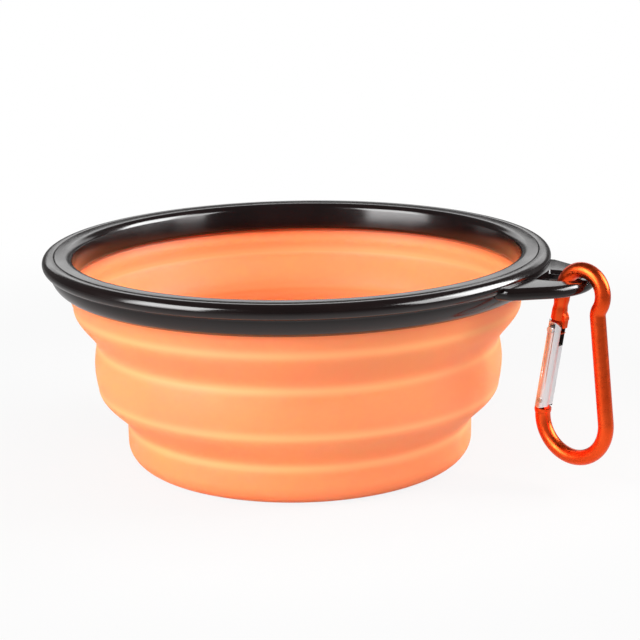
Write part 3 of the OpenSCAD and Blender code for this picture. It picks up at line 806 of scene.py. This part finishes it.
# The nose pin: a short steel pin with broken edges, pressed into both prongs of the gate's tip. It hooks
# into the notch of the clip's nose when the gate is shut.
PIN_HALF = GATE_R - TONGUE_GAP / 2
PIN_EDGE = 0.12 * MM
pin_end = [(NOSE_PIN_R, PIN_HALF - PIN_EDGE), (NOSE_PIN_R - PIN_EDGE, PIN_HALF)]
profile = [(r, -h) for r, h in pin_end[::-1]] + pin_end
nose_pin = lathe("nose_pin_visual", across_gate(NOSE_PIN_RISE), profile, steel, 32)
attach(nose_pin, "gate")
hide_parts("nose_pin")

# The plunger and the spring inside the gate: steel. The spring pushes the plunger against the hinge tongue,
# which shuts the gate. Both are hidden in the bore, and the nodes of the part are used as they are.
for name in ("gate_plunger", "gate_spring"):
    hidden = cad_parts[name]
    hidden.data.materials.clear()
    hidden.data.materials.append(steel)

# The floor: a large sheet of white paper under the bowl, which isn't part of it. The camera sees it as plain
# white with the bowl's shadow, and metal and plastic mirror it faintly. To light that bounces off it, it is
# greyer further out, so that less of it lights the bowl from below.
FLOOR_HALF = 6
MIRRORED = 0.08
floor_mesh = bpy.data.meshes.new("paper")
floor_corners = [(-FLOOR_HALF, -FLOOR_HALF, 0), (FLOOR_HALF, -FLOOR_HALF, 0),
                 (FLOOR_HALF, FLOOR_HALF, 0), (-FLOOR_HALF, FLOOR_HALF, 0)]
floor_mesh.from_pydata(floor_corners, [], [(0, 1, 2, 3)])
paper, tree = new_material("white paper")
ray = add(tree, "ShaderNodeLightPath")
mirrored = add(tree, "ShaderNodeMath", {"operation": "MULTIPLY"}, _0=ray.outputs["Is Glossy Ray"],
               _1=MIRRORED)
seen = add(tree, "ShaderNodeMath", {"operation": "MAXIMUM"}, _0=ray.outputs["Is Camera Ray"],
           _1=mirrored.outputs["Value"])
place = add(tree, "ShaderNodeNewGeometry")
distance = add(tree, "ShaderNodeVectorMath", {"operation": "LENGTH"}, _0=place.outputs["Position"])
whiter = add(tree, "ShaderNodeMapRange", {"interpolation_type": "SMOOTHSTEP"},
             Value=distance.outputs["Value"], From_Min=0.08, From_Max=0.3, To_Min=0.87, To_Max=1)
share = add(tree, "ShaderNodeMath", {"operation": "MULTIPLY"}, _0=seen.outputs["Value"],
            _1=whiter.outputs["Result"])
further = add(tree, "ShaderNodeMapRange", Value=distance.outputs["Value"], From_Min=0.09, From_Max=0.24)
grey = add(tree, "ShaderNodeValToRGB", {"stops": ((0, "#c4c4c4"), (1, "#707070"))},
           Fac=further.outputs["Result"])
matt = add(tree, "ShaderNodeBsdfDiffuse", Color=grey.outputs["Color"])
white = add(tree, "ShaderNodeEmission", Color=(1, 1, 1, 1), Strength=1)
mixed = add(tree, "ShaderNodeMixShader", Fac=share.outputs["Value"], _1=matt.outputs["BSDF"],
            _2=white.outputs["Emission"])
add(tree, "ShaderNodeOutputMaterial", Surface=mixed.outputs["Shader"])
floor_mesh.materials.append(paper)
floor = bpy.data.objects.new("floor", floor_mesh)
bpy.context.scene.collection.objects.link(floor)

# The camera: about 45 cm away and 14 degrees above the table, with the clip to its right. It was fitted to
# the bowl's rim, fold lines and base, and its focal length is given in pixels of a frame 640 wide.
CAMERA_TURN = math.radians(25.5)
CAMERA_RISE = math.radians(14.446)
CAMERA_ROLL = math.radians(0.921)
CAMERA_AWAY = 450 * MM
TARGET_RIGHT = 5.723 * MM
TARGET_UP = 35.071 * MM
FOCAL_PIXELS = 1728.27
FRAME_PIXELS = 640
SENSOR_MM = 36

across = Vector((math.cos(CAMERA_TURN), math.sin(CAMERA_TURN), 0))
away = Vector((-math.sin(CAMERA_TURN), math.cos(CAMERA_TURN), 0))
back = Vector((0, 0, math.sin(CAMERA_RISE))) - away * math.cos(CAMERA_RISE)
up = back.cross(across)
side = across * math.cos(CAMERA_ROLL) - up * math.sin(CAMERA_ROLL)
top = across * math.sin(CAMERA_ROLL) + up * math.cos(CAMERA_ROLL)
target = across * TARGET_RIGHT + Vector((0, 0, TARGET_UP))
camera = bpy.data.objects.new("camera", bpy.data.cameras.new("camera"))
camera.data.sensor_width = SENSOR_MM
camera.data.lens = SENSOR_MM * FOCAL_PIXELS / FRAME_PIXELS
camera.data.clip_start = 10 * MM
turned = Matrix((side, top, back)).transposed().to_4x4()
camera.matrix_world = Matrix.Translation(target + back * CAMERA_AWAY) @ turned
bpy.context.scene.collection.objects.link(camera)
bpy.context.scene.camera = camera

# Studio light: a softbox on each side, a low pale panel behind that the rim's flat top mirrors, and two
# soft fills, from the front and from above, that don't show in reflections. Lengths are in metres.
AIM = Vector((0, 0, 50 * MM))


def softbox(name, azimuth, rise, distance, size, brightness):
    """An area light that looks at the bowl. Azimuth 0 is the camera's right and 90 is away from it."""
    a = math.radians(azimuth)
    e = math.radians(rise)
    way = (across * math.cos(a) + away * math.sin(a)) * math.cos(e) + Vector((0, 0, math.sin(e)))
    lamp = bpy.data.lights.new(name, "AREA")
    lamp.shape = "RECTANGLE"
    lamp.size = size[0]
    lamp.size_y = size[1]
    lamp.energy = brightness * math.pi * size[0] * size[1]
    box = bpy.data.objects.new(name, lamp)
    facing = way.to_track_quat("Z", "Y").to_matrix().to_4x4()
    box.matrix_world = Matrix.Translation(AIM + way * distance) @ facing
    bpy.context.scene.collection.objects.link(box)
    return box


softbox("left softbox", azimuth=-148, rise=23, distance=0.9, size=(0.62, 0.62), brightness=9)
softbox("right softbox", azimuth=3, rise=27, distance=0.9, size=(0.56, 0.6), brightness=10)
softbox("back panel", azimuth=87, rise=18.4, distance=0.66, size=(0.9, 0.146), brightness=1.4)
fills = [softbox("front fill", azimuth=-85, rise=12, distance=1.2, size=(1.8, 0.5), brightness=2.4),
         softbox("top fill", azimuth=-90, rise=85, distance=1, size=(0.9, 0.9), brightness=1.6)]
for fill in fills:
    fill.visible_glossy = False


# Cards that show only as reflections: three in the glossy black rim, whose long highlights they draw, and
# one in front in the clip's anodised body, which would mirror a dark room there.
def light_gloss_of(name, pieces, cards):
    """Lets the cards light nothing but the reflections of these pieces."""
    lit = bpy.data.collections.new(name)
    for piece in pieces:
        lit.objects.link(piece)
    for card in cards:
        card.visible_diffuse = False
        card.light_linking.receiver_collection = lit


rim_cards = [softbox("right card", azimuth=-9, rise=23.5, distance=0.95, size=(1.04, 0.58), brightness=11),
             softbox("left card", azimuth=-148, rise=0.5, distance=0.9, size=(0.62, 0.1), brightness=7),
             softbox("left top card", azimuth=-146, rise=24, distance=0.9, size=(0.5, 0.5), brightness=6)]
clip_cards = [softbox("front card", azimuth=-88, rise=10, distance=1, size=(1.6, 1.2), brightness=0.28)]
light_gloss_of("glossy rim", (inner_ring, outer_ring, tab), rim_cards)
light_gloss_of("clip metal", (clip_body,), clip_cards)

# The room: white where the camera sees it, and otherwise a dim grey, which lights the bowl faintly and which
# the glossy pieces mirror.
ROOM_GREY = (0.12, 0.12, 0.12, 1)
world = bpy.data.worlds.new("studio")
bpy.context.scene.world = world
world.use_nodes = True
tree = world.node_tree
tree.nodes.clear()
ray = add(tree, "ShaderNodeLightPath")
room = add(tree, "ShaderNodeBackground", Color=ROOM_GREY, Strength=1)
white = add(tree, "ShaderNodeBackground", Color=(1, 1, 1, 1), Strength=1)
sky = add(tree, "ShaderNodeMixShader", Fac=ray.outputs["Is Camera Ray"], _1=room.outputs["Background"],
          _2=white.outputs["Background"])
add(tree, "ShaderNodeOutputWorld", Surface=sky.outputs["Shader"])
bpy.context.scene.view_settings.view_transform = "Standard"
